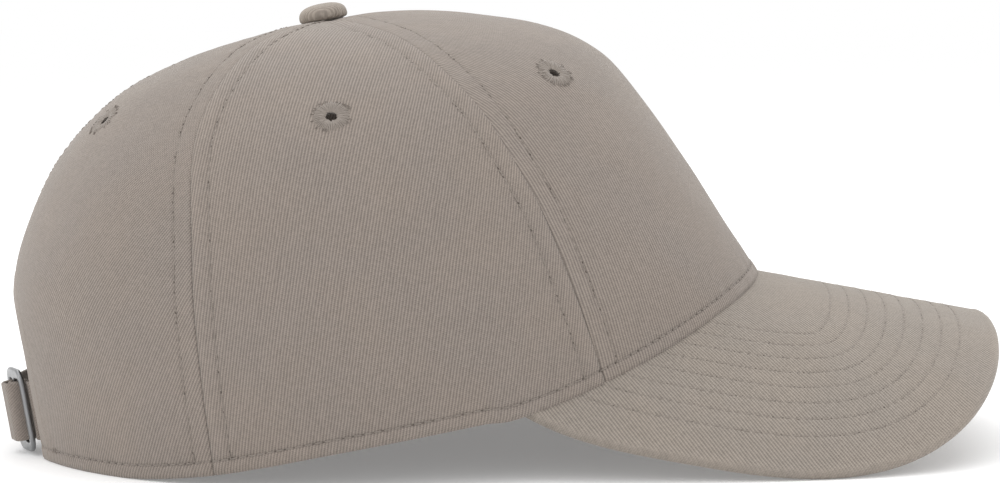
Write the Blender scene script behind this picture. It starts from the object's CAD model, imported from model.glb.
"""Looks of the five panel cap: brushed cotton twill, stitching, sewn eyelets and a metal buckle.
Metres, +Z up. The peak points to -Y and the wearer's right side is -X."""

import math

import bmesh
import bpy
import numpy as np
from mathutils import Matrix, Vector


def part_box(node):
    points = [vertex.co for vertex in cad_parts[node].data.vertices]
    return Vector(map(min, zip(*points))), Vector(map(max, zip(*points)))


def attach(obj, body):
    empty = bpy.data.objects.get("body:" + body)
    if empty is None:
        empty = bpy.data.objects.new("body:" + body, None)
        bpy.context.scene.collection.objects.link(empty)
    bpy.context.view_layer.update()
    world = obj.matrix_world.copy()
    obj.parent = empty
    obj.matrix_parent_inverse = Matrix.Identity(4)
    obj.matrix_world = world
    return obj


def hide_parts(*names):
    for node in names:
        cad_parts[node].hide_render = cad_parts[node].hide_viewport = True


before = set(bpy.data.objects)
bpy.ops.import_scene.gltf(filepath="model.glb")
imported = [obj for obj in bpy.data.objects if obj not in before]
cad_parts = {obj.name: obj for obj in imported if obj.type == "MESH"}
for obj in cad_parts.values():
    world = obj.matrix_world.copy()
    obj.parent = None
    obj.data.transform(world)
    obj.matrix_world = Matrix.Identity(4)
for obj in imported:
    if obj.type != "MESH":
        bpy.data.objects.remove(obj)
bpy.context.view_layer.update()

MM = 0.001
rng = np.random.default_rng(7)

# Crown, in millimetres and degrees
HEM_HALF_LENGTH = 100
HEM_HALF_WIDTH = 80
CROWN_HEIGHT = 115.4
BUTTON_SET_BACK = 18
WALL = 1.5
FRONT_SEAM = (56.5, 5, 3)
BACK_SEAM = (115.5, 3)
PANEL_TOP_LEVEL = 0.985

# Peak
PEAK_REACH = 64.7
PEAK_HALF_SPREAD = 92.5
PEAK_WIDEST_BEHIND = 20
PEAK_CORNER_BEHIND = 60
PEAK_CORNER_TAPER = 5.5
PEAK_OUTLINE_POWER = 3
PEAK_FRONT_SHARE = 0.74
PEAK_ARCH_RADIUS = 90
PEAK_SLOPE = math.radians(11.1)
PEAK_THICKNESS = 3.4
PEAK_EDGE_DEPTH = 2.3
PEAK_TUCK = 4
PEAK_FIRST_ROW = 11
PEAK_ROW_PITCH = 5
PEAK_ROW_COUNT = 8

# Back opening, strap and buckle
OPENING_HALF_WIDTH = 28.5
OPENING_HEIGHT = 43
OPENING_POWER = 3.2
STRAP_WIDTH = 16
STRAP_THICKNESS = 1
STRAP_CENTRE_HEIGHT = 12
STRAP_SEWN_LENGTH = 12
STRAP_STAND_OFF = 1.2
STRAP_LIFT_LENGTH = 4
STRAP_SINK_LENGTH = 1.5
STRAP_TAIL = 8
TAB_SEWN_LENGTH = 10
STRAP_CLEARANCE = 0.37
SEWN_CLEARANCE = 0.75
BUCKLE_HEIGHT = 22.8
BUCKLE_LENGTH = 18
BUCKLE_THICKNESS = 1.4
BUCKLE_BAR = 2.6
BUCKLE_CORNER = 5
BUCKLE_SLOT_HEIGHT = 17
BUCKLE_SLOT_CORNER = 0.9
BUCKLE_SOFT_EDGE = 0.55
BUCKLE_TO_PANEL = 3.2
BUCKLE_STAND_OFF = 1.6
BUCKLE_TILT = 8

# Eyelets and button
EYELET_DIAMETER = 10.8
EYELET_HOLE = 3.3
EYELET_PROUD = 0.9
EYELET_STITCHES = 52
EYELET_REACH_SPREAD = 0.24
EYELET_SHADED_SHARE = 0.38
BUTTON_DIAMETER = 13.2
BUTTON_HEIGHT = 4.65
BUTTON_SEAT_LEVEL = 0.97

# Cloth: ribs in metres and degrees
TWILL_PERIOD = 0.00079
TWILL_ANGLE = 81
TWILL_DEPTH = 0.00012
BACK_GRAIN = 22
SEAM_VALLEY = 0.26
SEAM_WELT = 0.10
EDGE_ROLL = 0.55
HEM_FOLD = 0.24
BINDING = 0.12
CALM_BESIDE_SEAM = 25
INSIDE_CLOTH_SHIFT = 3000
UNDERSIDE_CLOTH_SHIFT = 900
FLOOR_GAP = 0.02

# Stitching
STITCH_PITCH = 2.5
STITCH_LENGTH = 2.0
THREAD_RADIUS = 0.16
SEAM_STITCH = 5.1
HEM_STITCH = 3.7
ARCH_STITCH = 6
HEM_ROW_END = 7.3

SECTION_COLUMNS = (
    "front_reach", "front_rise", "side_reach", "side_rise", "back_reach", "back_rise", "shift",
)
CROWN_SECTIONS = np.array([
    [1.0, 0.0, 1.0, 0.0, 1.0, 0.0, 0.0],
    [0.92, 0.217, 1.015, 0.2, 1.042, 0.2, 0.1],
    [0.825, 0.465, 1.005, 0.405, 1.052, 0.39, 0.25],
    [0.733, 0.68, 0.95, 0.585, 0.996, 0.54, 0.42],
    [0.64, 0.865, 0.835, 0.74, 0.887, 0.692, 0.58],
    [0.502, 0.972, 0.66, 0.862, 0.7, 0.828, 0.74],
    [0.317, 1.026, 0.44, 0.948, 0.48, 0.91, 0.87],
    [0.131, 1.033, 0.21, 0.992, 0.22, 0.968, 0.96],
    [0.0, 1.0, 0.0, 1.0, 0.0, 1.0, 1.0],
])
HEM_WAY = np.array([0, 0.09, 0.18, 0.27, 0.36, 0.43, 0.5, 0.57, 1.0])
HEM_DROP = np.array([1, 0.83, 0.65, 0.46, 0.26, 0.13, 0.045, 0.0, 0.0])
EYELETS = {"front": (36.4, 0.506), "side": (91.2, 0.532), "back": (153.5, 0.57)}


def mix(a, b, t):
    """Value between two others at a share of the way."""
    return a + (b - a) * t


def smooth(start, end, value):
    """Share from 0 to 1 that starts and ends softly."""
    t = np.clip((value - start) / (end - start), 0, 1)
    return t * t * (3 - 2 * t)


def unit(v):
    """Direction of length 1."""
    return v / np.maximum(np.linalg.norm(v, axis=-1, keepdims=True), 1e-12)


def ridge(distance, height, half_width):
    """Smooth ridge along a line, or a groove where the height is negative."""
    return height * np.exp(-((distance / half_width) ** 2))


def run_along(points, axis=0):
    """Length along a line of points, or along one axis of a grid of them."""
    first = np.take(points, [0], axis)
    return np.cumsum(np.linalg.norm(np.diff(points, axis=axis, prepend=first), axis=-1), axis=axis)


def joined(groups):
    """Places, ways and ways out of several rows as three long lists."""
    return [np.concatenate(group) for group in zip(*groups)]


def along_rows(table, place):
    """Value on a smooth curve through the rows of a table."""
    last = len(table) - 1
    row = np.clip(np.floor(place).astype(int), 0, last - 1)
    t = place - row
    here, after = table[row], table[row + 1]
    before = np.where(row > 0, table[np.maximum(row - 1, 0)], 2 * here - after)
    later = np.where(row + 2 <= last, table[np.minimum(row + 2, last)], 2 * after - here)
    bend = 2 * before - 5 * here + 4 * after - later
    return here + 0.5 * t * (after - before + t * (bend + t * (3 * here - before - 3 * after + later)))


def peak_offsets(run, spread, depth):
    """Side, ahead and up of a place in the peak's flat pattern, bent over its arch."""
    turn = spread / PEAK_ARCH_RADIUS
    radius = PEAK_ARCH_RADIUS - depth
    drop = radius * np.cos(turn) - PEAK_ARCH_RADIUS
    c, s = math.cos(PEAK_SLOPE), math.sin(PEAK_SLOPE)
    return radius * np.sin(turn), HEM_HALF_LENGTH + run * c + drop * s, drop * c - run * s


def peak_outline(share, inset):
    """Free edge of the flat pattern, from corner over the tip to corner."""
    amount, sign = np.abs(share), np.sign(share)
    half_spread = PEAK_HALF_SPREAD - inset
    reach = PEAK_REACH + PEAK_WIDEST_BEHIND - inset
    turn = np.minimum(amount / PEAK_FRONT_SHARE, 1) * math.pi / 2
    power = 2 / PEAK_OUTLINE_POWER
    way = np.maximum(amount - PEAK_FRONT_SHARE, 0) / (1 - PEAK_FRONT_SHARE)
    front = amount <= PEAK_FRONT_SHARE
    run = np.where(front, reach * np.maximum(np.cos(turn), 0) ** power, 0) - PEAK_WIDEST_BEHIND
    run = run - (PEAK_CORNER_BEHIND - PEAK_WIDEST_BEHIND) * way
    corner_spread = half_spread - PEAK_CORNER_TAPER * way**3
    spread = np.where(front, half_spread * np.sin(turn) ** power, corner_spread)
    return run, sign * spread


def peak_extent():
    """Height of the ridge over the lowest edge, and how far ahead the tip lies."""
    run, spread = peak_outline(np.linspace(-1, 1, 401), 0)
    lowest = peak_offsets(run, spread, PEAK_EDGE_DEPTH)[2].min()
    return -float(lowest), float(peak_offsets(run, spread, PEAK_THICKNESS / 2)[1].max())


RIDGE_HEIGHT, PEAK_TIP = peak_extent()
CROWN_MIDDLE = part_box("peak")[0].y / MM + PEAK_TIP


def to_row(side, ahead, up):
    """Place in the row frame, still in millimetres."""
    return np.stack(np.broadcast_arrays(side, CROWN_MIDDLE - ahead, up), axis=-1).astype(float)


def peak_point(run, spread, depth):
    """Place in the row frame of a place in the peak's pattern, at a depth under its top."""
    side, ahead, up = peak_offsets(run, spread, depth)
    return to_row(side, ahead, up + RIDGE_HEIGHT)


def peak_top_height(side, ahead):
    """Height of the peak's top face."""
    drop = np.sqrt(PEAK_ARCH_RADIUS**2 - side**2) - PEAK_ARCH_RADIUS
    return RIDGE_HEIGHT - (ahead - HEM_HALF_LENGTH) * math.tan(PEAK_SLOPE) + drop / math.cos(PEAK_SLOPE)


PEAK_CORNER = peak_offsets(-PEAK_CORNER_BEHIND, peak_outline(np.array(1.0), 0)[1], 0)
CORNER_ANGLE = math.acos(float(PEAK_CORNER[1]) / HEM_HALF_LENGTH)
CORNER_HEIGHT = float(
    peak_top_height(HEM_HALF_WIDTH * math.sin(CORNER_ANGLE), HEM_HALF_LENGTH * math.cos(CORNER_ANGLE))
) + 0.6


def hem_height(angle, side, ahead):
    """Height of the crown's lower edge, which lies on the peak in front and drops behind it."""
    way = (np.maximum(angle, CORNER_ANGLE) - CORNER_ANGLE) / (math.pi - CORNER_ANGLE)
    place = np.interp(way, HEM_WAY, np.arange(len(HEM_WAY)))
    free = CORNER_HEIGHT * np.maximum(along_rows(HEM_DROP, place), 0)
    start = CORNER_ANGLE + math.radians(1.5)
    seated = 1 - smooth(start, start + math.radians(4), angle)
    return mix(free, peak_top_height(side, ahead) + 0.1, seated)


def crown(angle, level):
    """Place on the crown's outer face. Negative angles are on the wearer's right."""
    turn = np.abs(angle)
    place = level * (len(CROWN_SECTIONS) - 1)
    section = {n: along_rows(CROWN_SECTIONS[:, i], place) for i, n in enumerate(SECTION_COLUMNS)}
    c, s = np.cos(turn), np.sin(turn)
    middle = -BUTTON_SET_BACK * section["shift"]
    front = (HEM_HALF_LENGTH + BUTTON_SET_BACK) * section["front_reach"] - BUTTON_SET_BACK
    back = (HEM_HALF_LENGTH - BUTTON_SET_BACK) * section["back_reach"] + BUTTON_SET_BACK
    reach = np.where(c > 0, front - middle, back + middle)
    end_rise = np.where(c > 0, section["front_rise"], section["back_rise"])
    rise = mix(section["side_rise"], end_rise, c * c)
    hem = hem_height(turn, HEM_HALF_WIDTH * s, HEM_HALF_LENGTH * c)
    side = HEM_HALF_WIDTH * section["side_reach"] * np.sin(angle)
    return to_row(side, middle + reach * c, hem + rise * (CROWN_HEIGHT - hem))


def crown_out(angle, level):
    """Way out of the crown's outer face."""
    h = 0.004
    high = np.minimum(level + h, 1)
    low = high - 2 * h
    round_way = crown(angle + h, level) - crown(angle - h, level)
    up_way = crown(angle, high) - crown(angle, np.maximum(low, 0))
    return unit(np.cross(round_way, up_way))


def front_seam(level):
    """Angle of the seam between front and side panel."""
    base, sweep, top = FRONT_SEAM
    return np.radians(base + sweep * smooth(0.25, 0.65, level) + top * smooth(0.7, 0.9, level))


def back_seam(level):
    """Angle of the seam between side and back panel."""
    return np.radians(BACK_SEAM[0] + BACK_SEAM[1] * smooth(0.3, 0.6, level))


def place_on_back(side, height):
    """Angle and level on the back at a distance to the side and a height."""
    side, height = np.broadcast_arrays(np.asarray(side, float), np.asarray(height, float))
    low, high = np.zeros(side.shape), np.full(side.shape, 0.7)
    for _ in range(36):
        level = (low + high) / 2
        half_width = HEM_HALF_WIDTH * along_rows(CROWN_SECTIONS[:, 2], level * 8)
        angle = math.pi - np.arcsin(np.clip(side / half_width, -1, 1))
        under = crown(angle, level)[..., 2] < height
        low, high = np.where(under, level, low), np.where(under, high, level)
    return angle, np.where(height > 0, low, 0.0)


def soft_noise(points, wavelength, seed, count=9):
    """Smooth unevenness between about -1 and 1 from a few slanted waves."""
    r = np.random.default_rng(seed)
    total = np.zeros(points.shape[:-1])
    for _ in range(count):
        way = unit(r.normal(size=3))
        rate = 2 * math.pi / (wavelength * r.uniform(0.7, 1.5))
        total += np.sin(points @ way * rate + r.uniform(0, 6.28))
    return total / math.sqrt(count) / 1.2


def steps(length, near, fine, coarse, ends=(True, True)):
    """Shares from 0 to 1 along a length, close together near the ends and wider between."""
    places = np.linspace(0, length, 2001)
    gap = np.full(places.shape, float(coarse))
    if ends[0]:
        gap = np.minimum(gap, mix(fine, coarse, smooth(near * 0.8, near * 2, places)))
    if ends[1]:
        gap = np.minimum(gap, mix(fine, coarse, smooth(near * 0.8, near * 2, length - places)))
    total = np.concatenate([[0], np.cumsum((1 / gap[1:] + 1 / gap[:-1]) / 2 * np.diff(places))])
    wanted = np.linspace(0, total[-1], int(round(total[-1])) + 1)
    return np.interp(wanted, total, places) / length


def distance_to(points, line):
    """Distance of each point from a line of points, and how far along the line that is."""
    flat = points.reshape(-1, 3)
    a, b = line[:-1], line[1:]
    run = b - a
    length = np.maximum((run * run).sum(1), 1e-12)
    ends = np.concatenate([[0], np.cumsum(np.sqrt(length))])
    best = np.full(len(flat), 1e9)
    where = np.zeros(len(flat))
    for i in range(0, len(flat), 4000):
        p = flat[i : i + 4000, None, :]
        t = np.clip(((p - a) * run).sum(2) / length, 0, 1)
        d = np.linalg.norm(p - (a + run * t[..., None]), axis=2)
        k = d.argmin(1)
        rows = np.arange(len(k))
        best[i : i + 4000] = d[rows, k]
        where[i : i + 4000] = ends[k] + np.sqrt(length[k]) * t[rows, k]
    return best.reshape(points.shape[:-1]), where.reshape(points.shape[:-1])


def grid_faces(columns, rows, first=0, flip=False):
    """Four-cornered faces of a grid, and its point numbers."""
    index = (np.arange(columns)[:, None] * rows + np.arange(rows)[None, :]) + first
    a, b, c, d = index[:-1, :-1], index[1:, :-1], index[1:, 1:], index[:-1, 1:]
    quads = np.stack([a, b, c, d] if not flip else [d, c, b, a], -1).reshape(-1, 4)
    return quads.tolist(), index


def closed_sheet(outer, inner):
    """Vertices and faces of a closed wall between two grids of points."""
    columns, rows = outer.shape[:2]
    front, io = grid_faces(columns, rows)
    back, ii = grid_faces(columns, rows, columns * rows, True)
    rims = []
    for o, i, flip in (
        (io[:, 0], ii[:, 0], False), (io[:, -1], ii[:, -1], True),
        (io[0], ii[0], True), (io[-1], ii[-1], False),
    ):
        for k in range(len(o) - 1):
            quad = [i[k], i[k + 1], o[k + 1], o[k]]
            rims.append([int(v) for v in (quad[::-1] if flip else quad)])
    return np.concatenate([outer.reshape(-1, 3), inner.reshape(-1, 3)]), front + back + rims


def placed(name, data):
    """Object of its data, in the scene."""
    piece = bpy.data.objects.new(name, data)
    bpy.context.scene.collection.objects.link(piece)
    return piece


def evaluated(piece):
    """Plain mesh of a piece with its changes applied."""
    graph = bpy.context.evaluated_depsgraph_get()
    return bpy.data.meshes.new_from_object(piece.evaluated_get(graph), depsgraph=graph)


def close_up(mesh, merge=0.0):
    """Joins points that meet and turns all faces outward."""
    work = bmesh.new()
    work.from_mesh(mesh)
    if merge:
        bmesh.ops.remove_doubles(work, verts=work.verts, dist=merge)
    bmesh.ops.recalc_face_normals(work, faces=work.faces)
    work.to_mesh(mesh)
    work.free()
    mesh.shade_smooth()


def make_mesh(name, points, faces, material, uv, floats=None):
    """Object from points in millimetres, with the piece's own cloth coordinates in metres."""
    mesh = bpy.data.meshes.new(name)
    mesh.from_pydata((np.asarray(points) * MM).tolist(), [], faces)
    mesh.update()
    layer = mesh.uv_layers.new(name="cloth")
    corners = np.zeros(len(mesh.loops), dtype=np.int32)
    mesh.loops.foreach_get("vertex_index", corners)
    layer.data.foreach_set("uv", (np.asarray(uv)[corners] * MM).astype(np.float32).ravel())
    for key, values in (floats or {}).items():
        attribute = mesh.attributes.new(key, "FLOAT", "POINT")
        attribute.data.foreach_set("value", np.asarray(values, np.float32).ravel())
    mesh.shade_smooth()
    mesh.materials.append(material)
    return placed(name, mesh)


def turned(profile, segments, place, axis, name, material, ripple=None):
    """Profile of (radius, height) turned about an axis through a place."""
    profile = np.asarray(profile, float)
    across = unit(np.cross(axis, [0.0, 0.0, 1.0] if abs(axis[2]) < 0.9 else [0.0, 1.0, 0.0]))
    other = np.cross(axis, across)
    turn = np.linspace(0, 2 * math.pi, segments, endpoint=False)[:, None]
    radius, height = profile[None, :, 0], profile[None, :, 1]
    if ripple is not None:
        radius, height = ripple(turn, radius, height)
    x, y = radius * np.cos(turn), radius * np.sin(turn)
    height = np.broadcast_to(height, x.shape)
    points = place + x[..., None] * across + y[..., None] * other + height[..., None] * axis
    rows = profile.shape[0]
    index = np.arange(segments)[:, None] * rows + np.arange(rows)[None, :]
    after = np.roll(index, -1, axis=0)
    faces = []
    for k in range(rows - 1):
        a, b, c, d = index[:, k], after[:, k], after[:, k + 1], index[:, k + 1]
        faces += np.stack([a, b, c, d], -1).tolist()
    uv = np.stack([x, y], -1).reshape(-1, 2)
    piece = make_mesh(name, points.reshape(-1, 3), faces, material, uv)
    close_up(piece.data, 1e-7)
    return piece


# Materials


def add_node(tree, kind, inputs=None, **settings):
    """Node with its settings, and with a value or a link at each named input."""
    node = tree.nodes.new(kind)
    for key, value in settings.items():
        setattr(node, key, value)
    for key, value in (inputs or {}).items():
        if isinstance(value, bpy.types.NodeSocket):
            tree.links.new(value, node.inputs[key])
        else:
            node.inputs[key].default_value = value
    return node


class Shader:
    """Short way to put a material together."""

    def __init__(self, name):
        self.material = bpy.data.materials.new(name)
        self.material.use_nodes = True
        self.tree = self.material.node_tree
        self.tree.nodes.clear()

    def add(self, kind, inputs=None, **settings):
        return add_node(self.tree, kind, inputs, **settings)

    def math(self, operation, a, b=0.0, c=0.0):
        return self.add("ShaderNodeMath", {0: a, 1: b, 2: c}, operation=operation).outputs[0]

    def uneven(self, value, middle, amount):
        """Share by which a value departs from its middle."""
        return self.math("MULTIPLY", self.math("SUBTRACT", value, middle), amount)

    def darker(self, light, mask, amount):
        """Light made darker by an amount where the mask is 0."""
        return self.math("MULTIPLY", light, self.math("MULTIPLY_ADD", mask, amount, 1 - amount))

    def ramp(self, value, low, high, to_low=0.0, to_high=1.0):
        node = self.add(
            "ShaderNodeMapRange",
            {"Value": value, "From Min": low, "From Max": high, "To Min": to_low, "To Max": to_high},
            interpolation_type="SMOOTHSTEP",
        )
        return node.outputs[0]

    def wave(self, turns):
        """Value from 0 to 1 and back in each turn."""
        sine = self.math("SINE", self.math("MULTIPLY", turns, 2 * math.pi))
        return self.math("MULTIPLY_ADD", sine, 0.5, 0.5)

    def attribute(self, name):
        return self.add("ShaderNodeAttribute", attribute_name=name).outputs["Fac"]

    def place(self):
        return self.add("ShaderNodeTexCoord").outputs["Object"]

    def noise(self, vector, scale, detail=2.0, roughness=0.5):
        inputs = {"Vector": vector, "Scale": scale, "Detail": detail, "Roughness": roughness}
        return self.add("ShaderNodeTexNoise", inputs).outputs["Fac"]

    def blend(self, factor, a, b, mode="MIX"):
        mix_node = self.add("ShaderNodeMix", {0: factor, 6: a, 7: b}, data_type="RGBA", blend_type=mode)
        return mix_node.outputs[2]

    def tinted(self, colour, light):
        return self.blend(1.0, colour, self.vector(light, light, light), "MULTIPLY")

    def vector(self, x, y, z=0.0):
        return self.add("ShaderNodeCombineXYZ", {"X": x, "Y": y, "Z": z}).outputs[0]

    def bump(self, height):
        return self.add("ShaderNodeBump", {"Height": height, "Strength": 1.0, "Distance": 1.0}).outputs[0]

    def surface(self, values):
        """Ends the material in one surface with these values."""
        shader = self.add("ShaderNodeBsdfPrincipled", values)
        self.add("ShaderNodeOutputMaterial", {0: shader.outputs[0]})
        return self.material


def srgb(r, g, b):
    """Colour from picture values of 0 to 255."""
    def line(v):
        v /= 255
        return v / 12.92 if v <= 0.04045 else ((v + 0.055) / 1.055) ** 2.4

    return (line(r), line(g), line(b), 1.0)


def cloth_shader(
    name, colour, angle=TWILL_ANGLE, period=TWILL_PERIOD, seams=True, rows=False, contrast=0.66
):
    """Brushed twill: slanted ribs broken into yarns, with uneven colour and worn edges."""
    s = Shader(name)
    uv = s.add("ShaderNodeUVMap", uv_map="cloth").outputs[0]
    warp = s.uneven(s.noise(uv, 260), 0.5, 0.3)
    parts = s.add("ShaderNodeSeparateXYZ", {"Vector": uv})
    u, v = parts.outputs[0], parts.outputs[1]
    ca, sa = math.cos(math.radians(angle)), math.sin(math.radians(angle))
    across = s.math("SUBTRACT", s.math("MULTIPLY", u, sa), s.math("MULTIPLY", v, ca))
    along = s.math("ADD", s.math("MULTIPLY", u, ca), s.math("MULTIPLY", v, sa))
    turns = s.math("ADD", s.math("DIVIDE", across, period), warp)
    rib = s.ramp(s.wave(turns), 0.08, 0.92)
    whole = s.math("FLOOR", turns)
    yarn_turns = s.math("ADD", s.math("DIVIDE", along, period * 0.62), s.math("MULTIPLY", whole, 0.37))
    yarn = s.wave(yarn_turns)
    cell = s.vector(whole, s.math("FLOOR", yarn_turns))
    random = s.add("ShaderNodeTexWhiteNoise", {"Vector": cell}, noise_dimensions="3D").outputs["Value"]
    fuzz = s.noise(uv, 5200, 3.0, 0.65)
    if seams:
        plain = s.ramp(s.attribute("arch_mm"), ARCH_STITCH - 1.5, ARCH_STITCH + 1.0, 0.25, 1.0)
    if rows:
        plain = s.ramp(s.attribute("edge_mm"), 0.4, 2.6, 0.15, 1.0)
    if seams or rows:
        rib = s.math("MULTIPLY_ADD", s.math("SUBTRACT", rib, 0.5), plain, 0.5)
    weave = s.math("ADD", s.math("MULTIPLY", rib, 0.60), s.math("MULTIPLY", yarn, 0.33))
    weave = s.math("ADD", weave, s.math("MULTIPLY", fuzz, 0.22))

    cloud = s.noise(uv, 38, 3.0, 0.55)
    slub = s.noise(s.vector(s.math("MULTIPLY", across, 900), s.math("MULTIPLY", along, 90)), 1.0)
    light = s.math("MULTIPLY_ADD", s.math("SUBTRACT", weave, 0.57), contrast, 1.0)
    for value, amount in ((cloud, 0.10), (slub, 0.12), (random, 0.14)):
        light = s.math("ADD", light, s.uneven(value, 0.5, amount))
    height = s.math("MULTIPLY", weave, TWILL_DEPTH)
    if seams:
        seam, hem = s.attribute("seam_mm"), s.attribute("hem_mm")
        edge = s.math("MINIMUM", seam, hem)
        valley = s.ramp(seam, 0.0, 0.4)
        worn = s.math("MULTIPLY", s.ramp(edge, 0.5, 1.2), s.ramp(edge, 3.4, 1.6))
        groove = s.ramp(s.math("ABSOLUTE", s.math("SUBTRACT", seam, SEAM_STITCH)), 0.0, 0.7)
        foot = s.ramp(s.math("ABSOLUTE", s.math("SUBTRACT", hem, HEM_STITCH)), 0.1, 0.6)
        lines = s.math("MULTIPLY", groove, foot)
        light = s.darker(s.darker(s.darker(light, foot, 0.13), valley, 0.14), lines, 0.05)
        light = s.math("ADD", light, s.math("MULTIPLY", worn, 0.03))
        height = s.math("ADD", height, s.math("MULTIPLY", lines, 0.00006))
    if rows:
        offset = s.attribute("edge_mm")
        turn = s.math("DIVIDE", s.math("SUBTRACT", offset, PEAK_FIRST_ROW), PEAK_ROW_PITCH)
        nearest = s.math("MAXIMUM", s.math("ROUND", turn), 0.0)
        nearest = s.math("MINIMUM", nearest, PEAK_ROW_COUNT - 1.0)
        away = s.math("MULTIPLY", s.math("ABSOLUTE", s.math("SUBTRACT", turn, nearest)), PEAK_ROW_PITCH)
        groove = s.ramp(away, 0.0, 0.75)
        rim = s.math("MULTIPLY", s.ramp(offset, 0.2, 0.9), s.ramp(offset, 3.0, 1.4))
        light = s.math("ADD", s.darker(light, groove, 0.03), s.math("MULTIPLY", rim, 0.04))
        height = s.math("ADD", height, s.math("MULTIPLY", groove, 0.00009))
    warm = s.blend(s.ramp(cloud, 0.35, 0.65), (1.0, 1.0, 1.0, 1), (1.012, 1.0, 0.985, 1))
    return s.surface({
        "Base Color": s.blend(1.0, s.tinted(colour, light), warm, "MULTIPLY"),
        "Roughness": 0.95, "Specular IOR Level": 0.15,
        "Sheen Weight": 0.26, "Sheen Roughness": 0.45, "Sheen Tint": (1.0, 0.98, 0.94, 1.0),
        "Normal": s.bump(height),
    })


def thread_shader(name, colour):
    """Twisted sewing thread."""
    s = Shader(name)
    place = s.place()
    light = s.math("MULTIPLY_ADD", s.math("SUBTRACT", s.noise(place, 1500), 0.5), 0.25, 1.0)
    return s.surface({
        "Base Color": s.tinted(colour, light), "Roughness": 0.6, "Specular IOR Level": 0.35,
        "Sheen Weight": 0.15, "Normal": s.bump(s.math("MULTIPLY", s.noise(place, 6000), 0.00008)),
    })


def metal_shader(name, colour):
    """Satin metal with fine scratches and faint cloudiness."""
    s = Shader(name)
    place = s.place()
    cloud, fine = s.noise(place, 420, 3.0, 0.6), s.noise(place, 5200, 3.0, 0.6)
    rough = s.math("ADD", s.ramp(cloud, 0.3, 0.7, 0.24, 0.38), s.math("MULTIPLY", fine, 0.08))
    bump = s.bump(s.math("MULTIPLY", fine, 0.00002))
    return s.surface({"Base Color": colour, "Metallic": 1.0, "Roughness": rough, "Normal": bump})


CLOTH_COLOUR = srgb(133, 124, 117)
PEAK_COLOUR = srgb(139, 131, 123)
BUTTON_COLOUR = srgb(150, 141, 132)
twill = cloth_shader("brushed_twill", CLOTH_COLOUR)
peak_twill = cloth_shader("peak_twill", PEAK_COLOUR, -45, 0.00082, seams=False, rows=True)
strap_twill = cloth_shader("strap_twill", CLOTH_COLOUR, 40, 0.00058, seams=False, contrast=0.4)
button_twill = cloth_shader("button_twill", BUTTON_COLOUR, 90, 0.0006, seams=False, contrast=0.4)
thread = thread_shader("sewing_thread", srgb(133, 124, 116))
needle_hole = thread_shader("needle_hole", srgb(78, 69, 62))
shaded_thread = thread_shader("shaded_thread", srgb(108, 99, 91))
satin_thread = thread_shader("satin_thread", srgb(135, 126, 118))
nickel = metal_shader("satin_nickel", srgb(138, 139, 140))


# Stitches: each place carries the way along the seam and the way out of the cloth


def stitch_tree():
    """A bow of thread over each place, turned along its row and out of the cloth."""
    tree = bpy.data.node_groups.new("stitch_rows", "GeometryNodeTree")
    for label, kind, value in (
        ("Places", "Geometry", None), ("Length", "Float", 0.002), ("Radius", "Float", 0.0002),
        ("Rise", "Float", 0.0002), ("Dip", "Float", 0.0004), ("Seed", "Int", 3),
        ("Thread", "Material", None),
    ):
        socket = tree.interface.new_socket(label, in_out="INPUT", socket_type="NodeSocket" + kind)
        if value is not None:
            socket.default_value = value
    tree.interface.new_socket("Stitches", in_out="OUTPUT", socket_type="NodeSocketGeometry")

    def add(kind, inputs=None, **settings):
        return add_node(tree, kind, inputs, **settings).outputs

    def scaled(value, factor, more=0.0):
        return add("ShaderNodeMath", {0: value, 1: factor, 2: more}, operation="MULTIPLY_ADD")[0]

    def unevenness(low, high):
        inputs = {0: low, 1: high, "Seed": into["Seed"]}
        return add("FunctionNodeRandomValue", inputs, data_type="FLOAT_VECTOR")[0]

    into = add("NodeGroupInput")
    below = scaled(into["Dip"], -1.0)
    start = add("ShaderNodeCombineXYZ", {"X": scaled(into["Length"], -0.5), "Z": below})[0]
    middle = add("ShaderNodeCombineXYZ", {"Z": scaled(into["Rise"], 2.0, into["Dip"])})[0]
    end = add("ShaderNodeCombineXYZ", {"X": scaled(into["Length"], 0.5), "Z": below})[0]
    bow = {"Resolution": 6, "Start": start, "Middle": middle, "End": end}
    bow = add("GeometryNodeCurveQuadraticBezier", bow)["Curve"]
    ring = add("GeometryNodeCurvePrimitiveCircle", {"Resolution": 6, "Radius": into["Radius"]})["Curve"]
    tube = add("GeometryNodeCurveToMesh", {"Curve": bow, "Profile Curve": ring, "Fill Caps": True})[0]
    way, outward = (
        add("GeometryNodeInputNamedAttribute", {"Name": name}, data_type="FLOAT_VECTOR")[0]
        for name in ("way", "outward")
    )
    turn = add("FunctionNodeAlignRotationToVector", {"Vector": outward}, axis="Z")[0]
    inputs = {"Rotation": turn, "Vector": way}
    turn = add("FunctionNodeAlignRotationToVector", inputs, axis="X", pivot_axis="Z")[0]
    copies = add("GeometryNodeInstanceOnPoints", {
        "Points": into["Places"], "Instance": tube, "Rotation": turn,
        "Scale": unevenness((0.93, 0.9, 0.85), (1.05, 1.1, 1.15)),
    })[0]
    shaken = unevenness((-0.03, -0.03, -0.07), (0.03, 0.03, 0.07))
    shaken = add("GeometryNodeRotateInstances", {"Instances": copies, "Rotation": shaken})[0]
    real = add("GeometryNodeRealizeInstances", {0: shaken})[0]
    soft = add("GeometryNodeSetShadeSmooth", {0: real})[0]
    dressed = add("GeometryNodeSetMaterial", {"Geometry": soft, "Material": into["Thread"]})[0]
    add("NodeGroupOutput", {0: dressed})
    return tree


STITCHES = stitch_tree()


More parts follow.
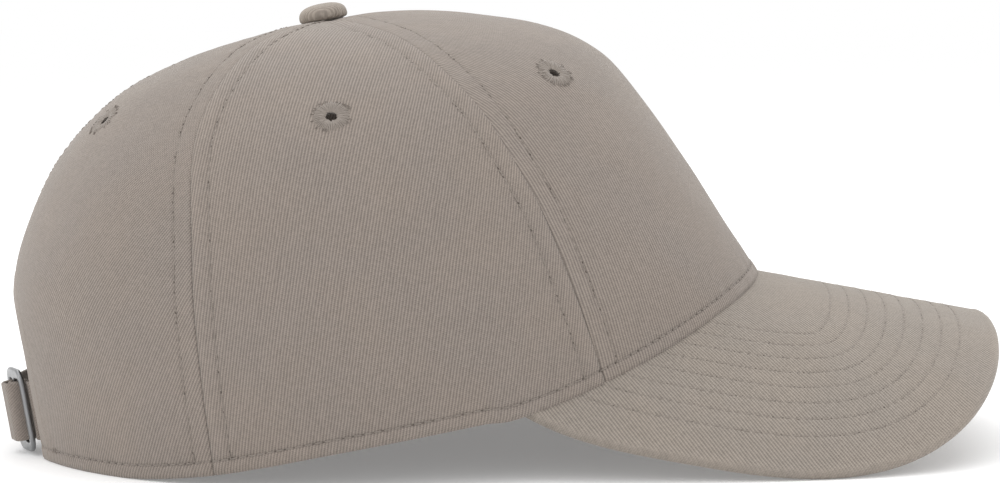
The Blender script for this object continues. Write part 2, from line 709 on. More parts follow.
def sew(name, places, ways, outs, material, length, radius, rise, dip, seed):
    """Real thread geometry at every place, made once and kept as a plain mesh."""
    mesh = bpy.data.meshes.new(name + "_places")
    mesh.from_pydata((np.asarray(places) * MM).tolist(), [], [])
    for key, values in (("way", ways), ("outward", outs)):
        attribute = mesh.attributes.new(key, "FLOAT_VECTOR", "POINT")
        attribute.data.foreach_set("vector", np.asarray(values, np.float32).ravel())
    holder = placed(name + "_places", mesh)
    change = holder.modifiers.new("stitches", "NODES")
    change.node_group = STITCHES
    values = {
        "Length": length * MM, "Radius": radius * MM, "Rise": rise * MM,
        "Dip": dip * MM, "Seed": seed, "Thread": material,
    }
    for item in STITCHES.interface.items_tree:
        if item.in_out == "INPUT" and item.name in values:
            change[item.identifier] = values[item.name]
    holder.update_tag()
    made = evaluated(holder)
    bpy.data.objects.remove(holder)
    made.name = name
    for attribute in [a.name for a in made.attributes if a.name in ("way", "outward")]:
        made.attributes.remove(made.attributes[attribute])
    if not made.materials:
        made.materials.append(material)
    return placed(name, made)


def stitch_places(line, outs, lift=0.0, shift=0.0):
    """Even places along a line, with the way along it and the way out of the cloth."""
    run = run_along(line)
    count = max(int(run[-1] / STITCH_PITCH), 1)
    at = (np.arange(count) + 0.5 + shift) * run[-1] / count

    def on_line(values, place):
        return np.stack([np.interp(place, run, values[:, k]) for k in range(3)], 1)

    out = unit(on_line(outs, at))
    return on_line(line, at) + out * lift, unit(on_line(line, at + 0.3) - on_line(line, at - 0.3)), out


def needle_holes(name, rows, share, seed):
    """Small dark gaps between the stitches, seen at some of them only."""
    kept = np.random.default_rng(seed)
    picked = []
    for line, outs in rows:
        hole = stitch_places(line, outs, 0.02, 0.5)
        keep = kept.random(len(hole[0])) < share
        picked.append([part[keep] for part in hole])
    return sew(name, *joined(picked), needle_hole, 0.5, 0.12, 0.0, 0.16, seed)


# Crown panels

LEVELS = np.linspace(0, PANEL_TOP_LEVEL, 260)
SEAM_LINES = {
    "front_left": crown(front_seam(LEVELS), LEVELS),
    "front_right": crown(-front_seam(LEVELS), LEVELS),
    "back_left": crown(back_seam(LEVELS), LEVELS),
    "back_right": crown(-back_seam(LEVELS), LEVELS),
}
CORNER_BACK = float(place_on_back(OPENING_HALF_WIDTH, 0.0)[0])
ARCH_TURN = np.linspace(0, math.pi / 2, 160)
ARCH_SIDE = OPENING_HALF_WIDTH * np.maximum(np.cos(ARCH_TURN), 0) ** (2 / OPENING_POWER)
ARCH_UP = OPENING_HEIGHT * np.sin(ARCH_TURN) ** (2 / OPENING_POWER)
ARCH_ANGLE, ARCH_LEVEL = place_on_back(ARCH_SIDE, ARCH_UP)
CENTRE_LEVELS = np.linspace(float(ARCH_LEVEL[-1]), PANEL_TOP_LEVEL, 200)
SEAM_LINES["back_middle"] = crown(np.full(200, math.pi), CENTRE_LEVELS)
MIRROR = np.array([-1, 1, 1])


def both_sides(left):
    """Line on the wearer's left followed by its mirror image, met in the middle."""
    return np.concatenate([left, (left[::-1] * MIRROR)[1:]])


HEM = both_sides(crown(np.linspace(CORNER_BACK, 0, 400), np.zeros(400)))
ARCH = both_sides(crown(ARCH_ANGLE, ARCH_LEVEL))


def high_up(points):
    """Seams lie flatter towards the button."""
    return smooth(55, 95, points[..., 2])


def cloth_wave(points, from_seam):
    """Soft unevenness of the crown, calmer beside the seams."""
    free = 0.25 + 0.75 * smooth(2, CALM_BESIDE_SEAM, from_seam)
    return (0.30 * soft_noise(points, 42, 11) + 0.07 * soft_noise(points, 15, 12)) * free


def cloth_height(points, seam, seam_run, hem, hem_run, arch):
    """How far the cloth stands out of the crown's plain shape."""
    valley = ridge(seam, -SEAM_VALLEY, 0.32) * (1 - 0.7 * high_up(points))
    welt = ridge(seam - 2.2, SEAM_WELT, 1.6)
    dents = 0.07 + 0.03 * np.cos(2 * math.pi * seam_run / STITCH_PITCH)
    groove = ridge(seam - SEAM_STITCH, -dents, 0.5)
    edge = np.minimum(hem, arch)
    roll = ridge(edge, -EDGE_ROLL, 0.6)
    fold = HEM_FOLD * (1 - smooth(HEM_STITCH - 0.5, HEM_STITCH + 0.6, hem))
    hem_dents = 0.22 + 0.09 * np.cos(2 * math.pi * hem_run / STITCH_PITCH)
    hem_groove = ridge(hem - HEM_STITCH, -hem_dents, 0.5)
    binding = BINDING * (1 - smooth(ARCH_STITCH - 0.4, ARCH_STITCH + 0.6, arch))
    binding += ridge(arch - ARCH_STITCH, -0.04, 0.5)
    pucker = np.sin(seam_run * 0.83 + 1.3 * np.sin(seam_run * 0.19)) * ridge(seam - 5.5, 0.07, 3.2)
    pucker += np.sin(hem_run * 0.74 + 1.1 * np.sin(hem_run * 0.23)) * ridge(hem - 4.5, 0.08, 3.0)
    wave = cloth_wave(points, np.minimum(seam, edge))
    return valley + welt + groove + roll + fold + hem_groove + binding + pucker + wave


def grain_start(base, u, upright):
    """Where the straight grain crosses each row: an upright line, or the panel's middle column."""
    middle = len(u) // 2
    if not upright:
        return u[middle]
    line = base[middle, :, 1].mean()
    way = 1 if base[-1, 0, 1] > base[0, 0, 1] else -1
    ahead, run = base[::way, :, 1], u[::way]
    return np.array([np.interp(line, ahead[:, k], run[:, k]) for k in range(u.shape[1])])


def back_cloth(angles, levels):
    """Way round from the middle of the back and way up from the hem, for cloth coordinates."""
    count = 160
    turns, heights = np.linspace(math.radians(100), math.pi, count), np.linspace(0, 1, count)
    grid = crown(turns[:, None], heights[None, :])
    round_way, up_way = run_along(grid), run_along(grid, 1)
    round_way = round_way[-1] - round_way
    across = (np.abs(angles) - turns[0]) / (turns[1] - turns[0])
    along = levels * (count - 1)
    i, j = (np.clip(np.floor(place).astype(int), 0, count - 2) for place in (across, along))
    s, t = across - i, along - j

    def between(table):
        low, high = mix(table[i, j], table[i + 1, j], s), mix(table[i, j + 1], table[i + 1, j + 1], s)
        return mix(low, high, t)

    return -np.sign(angles) * between(round_way), between(up_way)


def turned_cloth(uv, degrees):
    """Cloth coordinates with the grain turned."""
    c, s = math.cos(math.radians(degrees)), math.sin(math.radians(degrees))
    return uv @ np.array([[c, s], [-s, c]])


def panel(name, angles, levels, seam_names, upright=False, grain=0.0):
    """Panel from grids of angle and level, dressed with seams, hem, folds and cloth coordinates."""
    base = crown(angles, levels)
    out = crown_out(angles, levels)
    seam, seam_run = np.full(base.shape[:2], 1e9), np.zeros(base.shape[:2])
    for key in seam_names:
        d, run = distance_to(base, SEAM_LINES[key])
        seam_run = np.where(d < seam, run, seam_run)
        seam = np.minimum(seam, d)
    hem, hem_run = distance_to(base, HEM)
    arch = distance_to(base, ARCH)[0] if "back" in name else np.full(base.shape[:2], 1e3)
    height = cloth_height(base, seam, seam_run, hem, hem_run, arch)
    outer = base + out * height[..., None]
    inner = base - out * WALL
    inner[:, 0] = base[:, 0] - out[:, 0] * (WALL - 0.3)
    outer[:, 0, 2] = np.maximum(outer[:, 0, 2], FLOOR_GAP)
    inner[:, 0, 2] = outer[:, 0, 2]
    points, faces = closed_sheet(outer, inner)
    if "back" in name:
        u, v = back_cloth(angles, levels)
    else:
        u, v = run_along(base), run_along(base, 1) + base[:, :1, 2]
        u -= grain_start(base, u, upright)
    uv = turned_cloth(np.stack([u, v], -1).reshape(-1, 2), grain)
    uv = np.concatenate([uv, uv * [-1, 1] + [INSIDE_CLOTH_SHIFT, 0]])
    attributes = {
        "seam_mm": np.tile((seam + 0.35 * high_up(base)).ravel(), 2),
        "hem_mm": np.tile(hem.ravel(), 2),
        "arch_mm": np.tile(arch.ravel(), 2),
    }
    return make_mesh(name, points, faces, twill, uv, attributes)


FINE, COARSE = ((0.36, 1.2))
ROWS = steps(128, 7, FINE, 1.15)


def plain_panel(name, width, from_seam, to_seam, seam_names, upright=False):
    """Panel between two seams, from the hem up."""
    shares = steps(width, 7, FINE, COARSE)[:, None]
    levels = (ROWS * PANEL_TOP_LEVEL)[None, :]
    angles = mix(from_seam(levels), to_seam(levels), shares)
    return panel(name, angles, np.broadcast_to(levels, angles.shape), seam_names, upright)


def back_panel(name, sign):
    """Panel between back seam and middle seam, with its share of the arched opening."""
    corner_share = 0.58
    left_shares = steps(66, 7, FINE, COARSE) * corner_share
    arch_shares = corner_share + (1 - corner_share) * steps(56, 7, FINE, COARSE)
    shares = np.concatenate([left_shares, arch_shares[1:]])
    on_hem = shares <= corner_share
    up_arch = (shares - corner_share) / (1 - corner_share)
    arch_place = np.linspace(0, 1, len(ARCH_ANGLE))
    hem_angles = mix(float(back_seam(0.0)), CORNER_BACK, shares / corner_share)
    foot_angle = np.where(on_hem, hem_angles, np.interp(up_arch, arch_place, ARCH_ANGLE))
    foot_level = np.where(on_hem, 0.0, np.interp(up_arch, arch_place, ARCH_LEVEL))
    foot_seam = back_seam(foot_level)
    foot_share = (foot_angle - foot_seam) / (math.pi - foot_seam)
    way = ROWS[None, :]
    levels = mix(foot_level[:, None], PANEL_TOP_LEVEL, way)
    share = mix(foot_share[:, None], shares[:, None], smooth(-0.05, 0.85, way))
    share[0], share[-1] = 0.0, 1.0
    angles = mix(back_seam(levels), math.pi, share)
    if sign < 0:
        angles, levels = -angles[::-1], levels[::-1]
    side = "left" if sign > 0 else "right"
    return panel(name, angles, levels, ["back_" + side, "back_middle"], grain=BACK_GRAIN)


PANELS = {
    "front_panel": plain_panel(
        "cloth_front_panel", 190, lambda v: -front_seam(v), front_seam, ["front_left", "front_right"]
    ),
    "side_panel_left": plain_panel(
        "cloth_side_panel_left", 106, front_seam, back_seam, ["front_left", "back_left"], True
    ),
    "side_panel_right": plain_panel(
        "cloth_side_panel_right", 106, lambda v: -back_seam(v), lambda v: -front_seam(v),
        ["back_right", "front_right"], True,
    ),
    "back_panel_left": back_panel("cloth_back_panel_left", 1),
    "back_panel_right": back_panel("cloth_back_panel_right", -1),
}


def punch(piece, seats):
    """Real holes through a panel at its eyelets."""
    for angle, level in seats:
        axis, seat = crown_out(angle, level), crown(angle, level)
        drill = turned(
            [(0.0, 4.0), (EYELET_HOLE / 2 + 0.3, 4.0), (EYELET_HOLE / 2 + 0.3, -5.0), (0.0, -5.0)],
            28, seat, axis, "drill", twill,
        )
        cut = piece.modifiers.new("hole", "BOOLEAN")
        cut.operation, cut.object, cut.solver = "DIFFERENCE", drill, "MANIFOLD"
        made = evaluated(piece)
        piece.modifiers.remove(cut)
        piece.data = made
        bpy.data.objects.remove(drill)


for node, piece in PANELS.items():
    degrees, level = EYELETS[node.split("_")[0]]
    signs = {"left": (1,), "right": (-1,)}.get(node.split("_")[-1], (1, -1))
    punch(piece, [(np.array(sign * math.radians(degrees)), np.array(level)) for sign in signs])


# Rows of stitches on the crown


def offset_line(angles, levels, side_way, distance):
    """Line beside a seam: the seam's own places moved across the cloth by a distance."""
    points = crown(angles, levels)
    out = crown_out(angles, levels)
    along = unit(np.gradient(points, axis=0))
    across = unit(np.cross(out, along)) * side_way
    guess = points + across * distance
    return guess - out * (distance * distance / 260), out


seam_rows = []
for sign in (1, -1):
    for seam in (front_seam, back_seam):
        for way in (1, -1):
            seam_rows.append(offset_line(sign * seam(LEVELS[5:-12]), LEVELS[5:-12], way, SEAM_STITCH))
for way in (1, -1):
    levels = CENTRE_LEVELS[8:-12]
    seam_rows.append(offset_line(np.full(len(levels), math.pi), levels, way, SEAM_STITCH))


def above_hem(angle, distance):
    """Line on the cloth at a distance up from the hem, with the way out of the cloth."""
    levels = np.linspace(0, 0.12, 60)
    columns = crown(angle[:, None], levels[None, :])
    level = np.array([np.interp(distance, run, levels) for run in run_along(columns, 1)])
    return crown(angle, level), crown_out(angle, level)


hem_angle = np.linspace(CORNER_BACK - math.radians(HEM_ROW_END), 0, 320)
hem_line, hem_out = above_hem(hem_angle, HEM_STITCH)
marked_rows = [*seam_rows, (both_sides(hem_line), both_sides(hem_out))]
marked_rows = [(line + out * cloth_wave(line, SEAM_STITCH)[:, None], out) for line, out in marked_rows]

parts = [stitch_places(line, outs, -0.05) for line, outs in marked_rows]
tack_angle = hem_angle[0] + np.radians(np.linspace(1.3, -0.5, 6))
for sign in (1, -1):
    tack, out = above_hem(tack_angle, HEM_STITCH)
    tack[:, 2] += np.array([0.5, -0.4, 0.6, -0.5, 0.4, -0.6])
    mirrored = np.array([sign, 1, 1])
    parts.append((tack * mirrored, np.tile([0.0, 0.0, 1.0], (6, 1)), out * mirrored))
crown_stitches = sew(
    "crown_stitches", *joined(parts), thread, STITCH_LENGTH, THREAD_RADIUS, 0.05, 0.24, 5
)
seam_holes = needle_holes("seam_needle_holes", marked_rows[:-1], 0.4, 6)
hem_holes = needle_holes("hem_needle_holes", marked_rows[-1:], 0.85, 7)


# Peak


def flat(run, spread):
    """Place in the peak's flat pattern."""
    return np.stack([run, spread, np.zeros_like(run)], -1)


def peak_wave(place):
    """Soft unevenness of the peak."""
    return 0.10 * soft_noise(place, 26, 21) + 0.05 * soft_noise(place, 9, 22)


def peak_sheet():
    """Board in cloth with a piped edge, from inside the crown to its free edge."""
    columns = 2 * len(steps(150, 10, 0.9, 1.7)) + 1
    share = np.linspace(-1, 1, columns)[:, None]
    angle = CORNER_ANGLE * share
    side = (HEM_HALF_WIDTH - PEAK_TUCK) * np.sin(angle)
    ahead = (HEM_HALF_LENGTH - PEAK_TUCK) * np.cos(angle)
    drop = np.sqrt(PEAK_ARCH_RADIUS**2 - side**2) - PEAK_ARCH_RADIUS
    back_run = (ahead - HEM_HALF_LENGTH - drop * math.sin(PEAK_SLOPE)) / math.cos(PEAK_SLOPE)
    back_spread = PEAK_ARCH_RADIUS * np.arcsin(side / PEAK_ARCH_RADIUS)
    edge_run, edge_spread = peak_outline(share, 0)
    fine = 0.3
    way = steps(68, 4, fine, 2 * fine, (False, True))[None, :]
    run, spread = mix(back_run, edge_run, way), mix(back_spread, edge_spread, way)
    place = flat(run, spread)
    edge, edge_way = distance_to(place, flat(*peak_outline(np.linspace(-1, 1, 700), 0)))
    turn = (edge - PEAK_FIRST_ROW) / PEAK_ROW_PITCH
    nearest = np.clip(np.round(turn), 0, PEAK_ROW_COUNT - 1)
    away = (turn - nearest) * PEAK_ROW_PITCH
    dents = 0.07 + 0.03 * np.cos(2 * math.pi * edge_way / STITCH_PITCH)
    quilt = 0.05 + ridge(away, -dents, 0.55) + peak_wave(place)
    wrap = np.clip(edge / 1.5, 0, 1)
    half = PEAK_THICKNESS / 2
    round_edge = half * np.sqrt(np.maximum(1 - (1 - wrap) ** 2, 0.0))
    piping = ridge(edge - 1.9, 0.10, 1.0) + ridge(edge - 3.6, -0.05, 0.5)
    lift = (quilt + piping) * smooth(0.0, 1.0, edge)
    top = peak_point(run, spread, half - round_edge - lift)
    bottom = peak_point(run, spread, half + round_edge + lift * 0.6)
    bottom[..., 2] = np.maximum(bottom[..., 2], FLOOR_GAP)
    points, faces = closed_sheet(bottom, top)
    uv = np.stack([spread, run], -1).reshape(-1, 2)
    uv = np.concatenate([uv * [-1, 1] + [UNDERSIDE_CLOTH_SHIFT, 0], uv])
    return make_mesh("cloth_peak", points, faces, peak_twill, uv, {"edge_mm": np.tile(edge.ravel(), 2)})


peak = peak_sheet()


def peak_rows():
    """Lines of stitches on both faces of the peak, parallel to its free edge."""
    rows = []
    outline = flat(*peak_outline(np.linspace(-1, 1, 500), 0))
    for row in range(PEAK_ROW_COUNT):
        inset = PEAK_FIRST_ROW + row * PEAK_ROW_PITCH
        run, spread = peak_outline(np.linspace(-1, 1, 900), 0)
        tangent = unit(np.stack([np.gradient(run), np.gradient(spread)], 1))
        run, spread = run - tangent[:, 1] * inset, spread + tangent[:, 0] * inset
        near, _ = distance_to(flat(run, spread), outline)
        side, ahead, _ = peak_offsets(run, spread, 0)
        across, forward = side / (HEM_HALF_WIDTH - 1), np.maximum(ahead, 0) / (HEM_HALF_LENGTH - 1)
        keep = (near > inset - 0.12) & (across**2 + forward**2 > 1)
        run, spread = run[keep], spread[keep]
        jumps = np.nonzero(np.hypot(np.diff(run), np.diff(spread)) > 6)[0]
        for part in np.split(np.arange(len(run)), jumps + 1):
            if len(part) < 6:
                continue
            r, w = run[part], spread[part]
            out = unit(peak_point(r, w, 0) - peak_point(r, w, 1.0))
            wave = peak_wave(flat(r, w)) - 0.02
            under = peak_point(r, w, PEAK_THICKNESS + 0.6 * wave)
            rows += [(peak_point(r, w, -wave), out), (under, -out)]
    return rows


peak_lines = peak_rows()
peak_places = joined(stitch_places(line, out) for line, out in peak_lines)
peak_stitches = sew("peak_stitches", *peak_places, thread, STITCH_LENGTH, THREAD_RADIUS, 0.03, 0.24, 9)
peak_holes = needle_holes("peak_needle_holes", peak_lines, 0.35, 10)


# Eyelets


def eyelet(name, angle, level, seed):
    """Ring of satin stitches with loose thread ends round an air hole."""
    axis, seat = crown_out(angle, level), crown(angle, level)
    seat = seat + axis * cloth_wave(seat, CALM_BESIDE_SEAM)
    inner, outer = EYELET_HOLE / 2, EYELET_DIAMETER / 2
    t = np.linspace(0, 1, 15)
    radius = mix(inner + 0.15, outer - 1.1, t)
    swell = np.sin(np.clip(t * 1.25 + 0.12, 0, 1.25) / 1.25 * math.pi * 0.86) ** 0.7
    top = -0.16 + (EYELET_PROUD - 0.65) * swell
    profile = [(inner + 0.15, -0.9), *zip(radius, top), (outer - 1.1, -0.9), (inner + 0.15, -0.9)]
    ring = turned(profile, 72, seat, axis, "ring_" + name, satin_thread)
    count = EYELET_STITCHES
    turn = np.arange(count) * 2 * math.pi / count + rng.uniform(-0.03, 0.03, count)
    across = unit(np.cross(axis, [0.0, 0.0, 1.0]))
    radial = np.cos(turn)[:, None] * across + np.sin(turn)[:, None] * np.cross(axis, across)
    outs = np.broadcast_to(axis, radial.shape)
    reach = (inner + outer) / 2 - 0.3 + rng.uniform(-EYELET_REACH_SPREAD, EYELET_REACH_SPREAD, count)
    middle = seat + radial * reach[:, None] - axis * 0.02
    length = outer - inner - 0.4
    threads = sew(
        "eyelet_threads_" + name, middle, radial, outs, satin_thread,
        length, 0.2, 0.14, 0.3, 20 + seed,
    )
    far = rng.random(count) < EYELET_SHADED_SHARE
    rim = seat + radial[far] * (reach[far] + (outer - inner) / 2 - 0.1)[:, None] + axis * 0.1
    holes = sew(
        "eyelet_holes_" + name, rim, radial[far], outs[far], shaded_thread,
        0.8, 0.1, 0.0, 0.14, 40 + seed,
    )
    return ring, threads, holes


eyelet_pieces = {}
for name, (degrees, level) in EYELETS.items():
    for side, sign in (("left", 1), ("right", -1)):
        angle = np.array(sign * math.radians(degrees))
        eyelet_pieces[f"eyelet_{name}_{side}"] = eyelet(f"{name}_{side}", angle, np.array(level), sign)


# Covered button

front_rim, back_rim = (crown(np.array(turn), np.array(BUTTON_SEAT_LEVEL)) for turn in (0.0, math.pi))
slope = unit(back_rim - front_rim)
button_axis = unit(np.cross(slope, np.array([-1.0, 0.0, 0.0])))
button_seat = (front_rim + back_rim) / 2
BUTTON_HALF = BUTTON_DIAMETER / 2
dome = [(0.0, BUTTON_HEIGHT + 0.35)]
for turn in np.linspace(0.06, math.pi / 2 - 0.02, 20):
    rise = 1.5 + (BUTTON_HEIGHT - 1.15) * math.cos(turn) ** 0.75
    dome.append((BUTTON_HALF * math.sin(turn) ** 0.8, rise))
for share, height in ((0.985, 1.0), (0.93, 0.55), (0.84, 0.35), (0.5, -0.6), (0.0, -2.2)):
    dome.append((BUTTON_HALF * share, height))


def gathers(turn, radius, height):
    """Small folds where the cover is drawn in under the button."""
    low = smooth(2.6, 0.6, height) * smooth(0.55 * BUTTON_HALF, 0.9 * BUTTON_HALF, radius)
    fold = 0.12 * low * np.sin(turn * 17 + 0.8 * np.sin(turn * 3))
    return radius + fold, height + np.zeros_like(fold)


button = turned(dome, 120, button_seat, button_axis, "cloth_button", button_twill, gathers)


# Strap, tab and buckle


def band_frame(offset):
    """Middle, out, up and right directions on the band round the back."""
    offset = np.asarray(offset, float)
    angle, level = place_on_back(np.abs(offset), np.full(offset.shape, float(STRAP_CENTRE_HEIGHT)))
    angle = np.where(offset < 0, -angle, angle)
    middle, out = crown(angle, level), crown_out(angle, level)
    up = crown(angle, level + 0.002) - crown(angle, level - 0.002)
    up = unit(up - out * (up * out).sum(-1, keepdims=True))
    return middle, out, up, np.cross(up, out)


def turn_about(v, axis, angle):
    """Direction turned about an axis."""
    along = axis * (axis @ v) * (1 - math.cos(angle))
    return v * math.cos(angle) + np.cross(axis, v) * math.sin(angle) + along


def buckle_frame():
    """Middle, out, up and right of the buckle, which is turned about its own height."""
    middle, out, up, right = band_frame(BUCKLE_TO_PANEL + BUCKLE_LENGTH / 2 - OPENING_HALF_WIDTH)
    tilt = math.radians(BUCKLE_TILT)
    out, right = turn_about(out, up, tilt), turn_about(right, up, tilt)
    return middle + out * BUCKLE_STAND_OFF, out, up, right


BUCKLE_MIDDLE, BUCKLE_OUT, BUCKLE_UP, BUCKLE_RIGHT = buckle_frame()
BAR_OFFSET = (BUCKLE_LENGTH - BUCKLE_BAR) / 2
BESIDE_BAR = BUCKLE_THICKNESS / 2 + STRAP_CLEARANCE + STRAP_THICKNESS / 2
OVER_TAB = BESIDE_BAR + STRAP_THICKNESS + STRAP_CLEARANCE
STRAP_INSIDE = -WALL - SEWN_CLEARANCE - STRAP_THICKNESS / 2
TAB_INSIDE = STRAP_INSIDE - 1.5 * STRAP_THICKNESS - 2 * STRAP_CLEARANCE
TAB_SEWN = STRAP_INSIDE - STRAP_THICKNESS / 2

# Ways through the buckle: share of the way to an end bar, and shares of the two depths above
UNDER, OVER = -BESIDE_BAR, OVER_TAB
STRAP_WAY = [
    (-1.3, 1.1 * UNDER), (-1.0, 1.05 * UNDER), (-0.74, 1.02 * UNDER), (-0.6, 0.07 * OVER),
    (-0.53, 0.75 * OVER), (-0.34, 1.06 * OVER), (0.0, 1.06 * OVER), (0.34, 1.06 * OVER),
    (0.53, 0.75 * OVER), (0.6, 0.07 * OVER), (0.68, 0.86 * UNDER), (0.86, 1.03 * UNDER),
    (1.17, 1.11 * UNDER),
]
TAB_WAY = [(0.21, 1.27 * UNDER), (0.5, 2.15 * UNDER), (0.8, 2.5 * UNDER), (1.05, 3.35 * UNDER)]


def buckle_point(right, out):
    """Place at a distance along the buckle and out of it."""
    return BUCKLE_MIDDLE + BUCKLE_OUT * out + BUCKLE_RIGHT * right


def rounded_path(knots, ups, per_knot=7):
    """Smooth path through a few places, with its up and out directions."""
    knots, ups = np.asarray(knots), np.asarray(ups)
    place = np.linspace(0, len(knots) - 1, (len(knots) - 1) * per_knot + 1)
    path = np.stack([along_rows(knots[:, k], place) for k in range(3)], 1)
    up = unit(np.stack([np.interp(place, np.arange(len(knots)), ups[:, k]) for k in range(3)], 1))
    along = unit(np.gradient(path, axis=0))
    up = unit(up - along * (along * up).sum(1, keepdims=True))
    return path, up, np.cross(along, up)


def ribbon(name, path, up, out, thickness):
    """Woven band with rolled edges, closed at its ends."""
    half = STRAP_WIDTH / 2
    edge = np.linspace(-half, -half + 1.2, 6)
    across = np.concatenate([edge, np.linspace(-half + 1.5, half - 1.5, 26), -edge[::-1]])
    from_edge = np.clip((half - np.abs(across)) / 0.6, 0, 1)
    thick = thickness / 2 * np.sqrt(np.clip(1 - (1 - from_edge) ** 2, 0, 1))
    rim = np.array([*zip(across, thick), *zip(across[-2:0:-1], -thick[-2:0:-1])])
    count = len(rim)
    points = path[:, None, :] + up[:, None, :] * rim[None, :, :1] + out[:, None, :] * rim[None, :, 1:]
    index = np.arange(len(path))[:, None] * count + np.arange(count)[None, :]
    after = np.roll(index, -1, axis=1)
    faces = np.stack([index[:-1], after[:-1], after[1:], index[1:]], -1).reshape(-1, 4).tolist()
    faces += [index[0].tolist(), index[-1][::-1].tolist()]
    uv = np.stack(np.broadcast_arrays(run_along(path)[:, None], rim[None, :, 0]), -1).reshape(-1, 2)
    piece = make_mesh(name, points.reshape(-1, 3), faces, strap_twill, uv)
    close_up(piece.data)
    return piece


def strap_path():
    """From inside the left panel, under, over and under the bars, and in behind the right panel."""
    start = OPENING_HALF_WIDTH + STRAP_SEWN_LENGTH
    edge = BUCKLE_TO_PANEL + BUCKLE_LENGTH + STRAP_LIFT_LENGTH - OPENING_HALF_WIDTH
    offsets = np.linspace(start, edge, 21)
    middle, out, up, _ = band_frame(offsets)
    lifted = smooth(OPENING_HALF_WIDTH - STRAP_LIFT_LENGTH, edge, offsets)
    knots = list(middle + out * mix(STRAP_INSIDE, STRAP_STAND_OFF, lifted)[:, None])
    ups = list(up)
    for right, outward in STRAP_WAY:
        knots.append(buckle_point(right * BAR_OFFSET, outward))
        ups.append(BUCKLE_UP)
    share = np.array([0, 0.5, 1])
    middle, out, up, _ = band_frame(-OPENING_HALF_WIDTH - mix(-STRAP_SINK_LENGTH, STRAP_TAIL, share))
    knots += list(middle + out * STRAP_INSIDE)
    ups += list(up)
    return rounded_path(knots, ups)


def tab_path():
    """Round the buckle's middle bar and back on itself, as one folded layer pair."""
    room = STRAP_CLEARANCE + STRAP_THICKNESS / 2
    half_bar, half_depth = BUCKLE_BAR / 2 + room, BUCKLE_THICKNESS / 2 + room
    layer = STRAP_THICKNESS / 2
    tail_end = OPENING_HALF_WIDTH + STRAP_TAIL
    offsets = -np.array([
        tail_end + TAB_SEWN_LENGTH, tail_end + TAB_SEWN_LENGTH / 2, tail_end,
        OPENING_HALF_WIDTH + STRAP_TAIL / 2, OPENING_HALF_WIDTH,
    ])
    depths = np.array([TAB_SEWN, TAB_SEWN, TAB_INSIDE, TAB_INSIDE, TAB_INSIDE])
    middle, out, up, _ = band_frame(offsets)
    way = [(right * BAR_OFFSET, outward) for right, outward in TAB_WAY[::-1]]
    inner = list(middle + out * (depths - layer)[:, None])
    inner += [buckle_point(r, o - layer) for r, o in way]
    outer = list(middle + out * (depths + layer)[:, None])
    outer += [buckle_point(r, o + layer) for r, o in way[:-1]]
    loop = [
        (-half_bar * 0.5, -half_depth), (-half_bar, -half_depth * 0.4), (-half_bar, half_depth * 0.4),
        (-half_bar * 0.5, half_depth), (half_bar * 0.5, half_depth), (half_bar, half_depth * 0.4),
        (half_bar * 1.1, -half_depth * 0.5),
    ]
    knots = inner + [buckle_point(r, o) for r, o in loop] + outer[::-1]
    ups = list(up) + [BUCKLE_UP] * (len(knots) - 2 * len(up)) + list(up)[::-1]
    return rounded_path(knots, ups)


strap = ribbon("cloth_strap", *strap_path(), STRAP_THICKNESS)
tab = ribbon("cloth_tab", *tab_path(), STRAP_THICKNESS * 0.92)


def rounded_loop(half_x, half_y, corner, middle_x=0.0, per_corner=10):
    """Oblong with round corners."""
    points = []
    for cx, cy, start in ((1, -1, -90), (1, 1, 0), (-1, 1, 90), (-1, -1, 180)):
        for a in np.radians(np.linspace(start, start + 90, per_corner)):
            points.append((
                middle_x + cx * (half_x - corner) + corner * math.cos(a),
                cy * (half_y - corner) + corner * math.sin(a),
            ))
    return points


def buckle_piece():
    """Cast frame with soft edges, two slots and a middle bar."""
    soft = BUCKLE_SOFT_EDGE
    curve = bpy.data.curves.new("buckle_outline", "CURVE")
    curve.dimensions = "2D"
    curve.fill_mode = "BOTH"
    curve.extrude = (BUCKLE_THICKNESS / 2 - soft) * MM
    curve.bevel_depth = soft * MM
    curve.bevel_resolution = 4
    slot_length = (BUCKLE_LENGTH - 3 * BUCKLE_BAR) / 2
    loops = [rounded_loop(BUCKLE_LENGTH / 2 - soft, BUCKLE_HEIGHT / 2 - soft, BUCKLE_CORNER - soft)]
    for sign in (-1, 1):
        loops.append(rounded_loop(
            slot_length / 2 + soft, BUCKLE_SLOT_HEIGHT / 2 + soft, BUCKLE_SLOT_CORNER + soft,
            sign * (slot_length + BUCKLE_BAR) / 2, 6,
        ))
    for loop in loops:
        spline = curve.splines.new("POLY")
        spline.points.add(len(loop) - 1)
        for k, (x, y) in enumerate(loop):
            spline.points[k].co = (x * MM, y * MM, 0, 1)
        spline.use_cyclic_u = True
    holder = placed("buckle_outline", curve)
    mesh = evaluated(holder)
    bpy.data.objects.remove(holder)
    basis = Matrix((BUCKLE_RIGHT, BUCKLE_UP, BUCKLE_OUT)).transposed().to_4x4()
    mesh.transform(Matrix.Translation(Vector(BUCKLE_MIDDLE * MM)) @ basis)
    close_up(mesh, 2e-6)
    mesh.name = "metal_buckle"
    mesh.materials.clear()
    mesh.materials.append(nickel)
    return placed("metal_buckle", mesh)


buckle = buckle_piece()

# What each piece stands for

pieces = {node: (piece,) for node, piece in PANELS.items()}
pieces.update(eyelet_pieces)
pieces.update({"peak": (peak,), "button": (button,)})
pieces.update({"strap": (strap,), "tab": (tab,), "buckle": (buckle,)})
for node, group in pieces.items():
    for piece in group:
        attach(piece, "root")
        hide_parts(node)
for piece in (crown_stitches, seam_holes, hem_holes, peak_stitches, peak_holes):
    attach(piece, "root")


# Studio


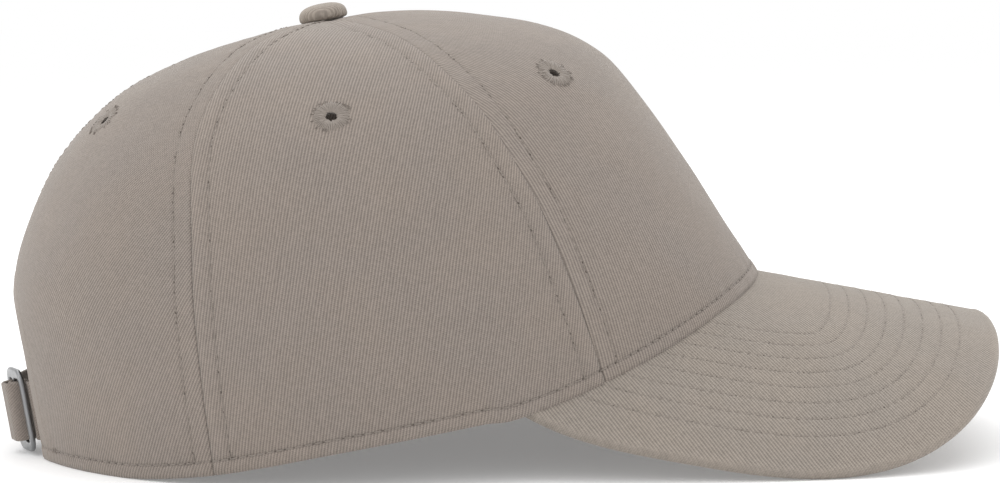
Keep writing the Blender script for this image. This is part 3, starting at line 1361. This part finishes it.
def floor_piece():
    """Pale surface under the cap."""
    mesh = bpy.data.meshes.new("studio_floor")
    mesh.from_pydata([(-40, -40, 0), (40, -40, 0), (40, 40, 0), (-40, 40, 0)], [], [(0, 1, 2, 3)])
    mesh.materials.append(Shader("floor_paper").surface({
        "Base Color": (0.8, 0.8, 0.8, 1), "Roughness": 1.0, "Specular IOR Level": 0.0,
        "Emission Color": (1, 1, 1, 1), "Emission Strength": 0.2,
    }))
    return placed("studio_floor", mesh)


floor_piece()

world = bpy.data.worlds.new("studio")
bpy.context.scene.world = world
world.use_nodes = True
world.node_tree.nodes["Background"].inputs[0].default_value = (1, 1, 1, 1)
world.node_tree.nodes["Background"].inputs[1].default_value = 1.0


def softbox(name, place, target, width, height, power):
    """Large soft lamp turned to a place."""
    light = bpy.data.lights.new(name, "AREA")
    light.shape = "RECTANGLE"
    light.size, light.size_y, light.energy = width, height, power
    lamp = placed(name, light)
    lamp.location = place
    lamp.rotation_euler = (Vector(target) - Vector(place)).to_track_quat("-Z", "Y").to_euler()


softbox("top_light", (0.15, 0, 1.2), (0, 0, 0.05), 1.6, 1.6, 8.5)
softbox("front_light", (-0.5, -1.3, 0.7), (0, 0, 0.06), 0.9, 0.9, 2.1)
softbox("back_light", (-0.4, 1.3, 0.6), (0, 0, 0.06), 0.9, 0.9, 3.8)
softbox("far_light", (1.3, 0, 0.9), (0, 0, 0.08), 1.2, 0.9, 3)

CAMERA_DISTANCE = 700
CAMERA_ELEVATION = math.radians(5)
CAMERA_ROLL = math.radians(0.75)
AIM_AHEAD, AIM_UP = 29.0, 54.15
SENSOR_WIDTH = 36
FOCAL_LENGTH_PER_PICTURE = 2534 / 1000
camera_data = bpy.data.cameras.new("camera")
camera_data.sensor_width = SENSOR_WIDTH
camera_data.lens = SENSOR_WIDTH * FOCAL_LENGTH_PER_PICTURE
camera_data.clip_start, camera_data.clip_end = 0.01, 60
camera = placed("camera", camera_data)
look = Vector((math.cos(CAMERA_ELEVATION), 0, -math.sin(CAMERA_ELEVATION)))
aim = Vector((0, (CROWN_MIDDLE - AIM_AHEAD) * MM, AIM_UP * MM))
camera.location = aim - look * CAMERA_DISTANCE * MM
up_hint = Vector((math.sin(CAMERA_ELEVATION), 0, math.cos(CAMERA_ELEVATION)))
right_hint = look.cross(up_hint)
picture_up = up_hint * math.cos(CAMERA_ROLL) + right_hint * math.sin(CAMERA_ROLL)
picture_right = look.cross(picture_up)
turn = Matrix((picture_right, picture_up, -look)).transposed().to_4x4()
camera.matrix_world = Matrix.Translation(camera.location) @ turn
bpy.context.scene.camera = camera
bpy.context.scene.view_settings.view_transform = "Standard"
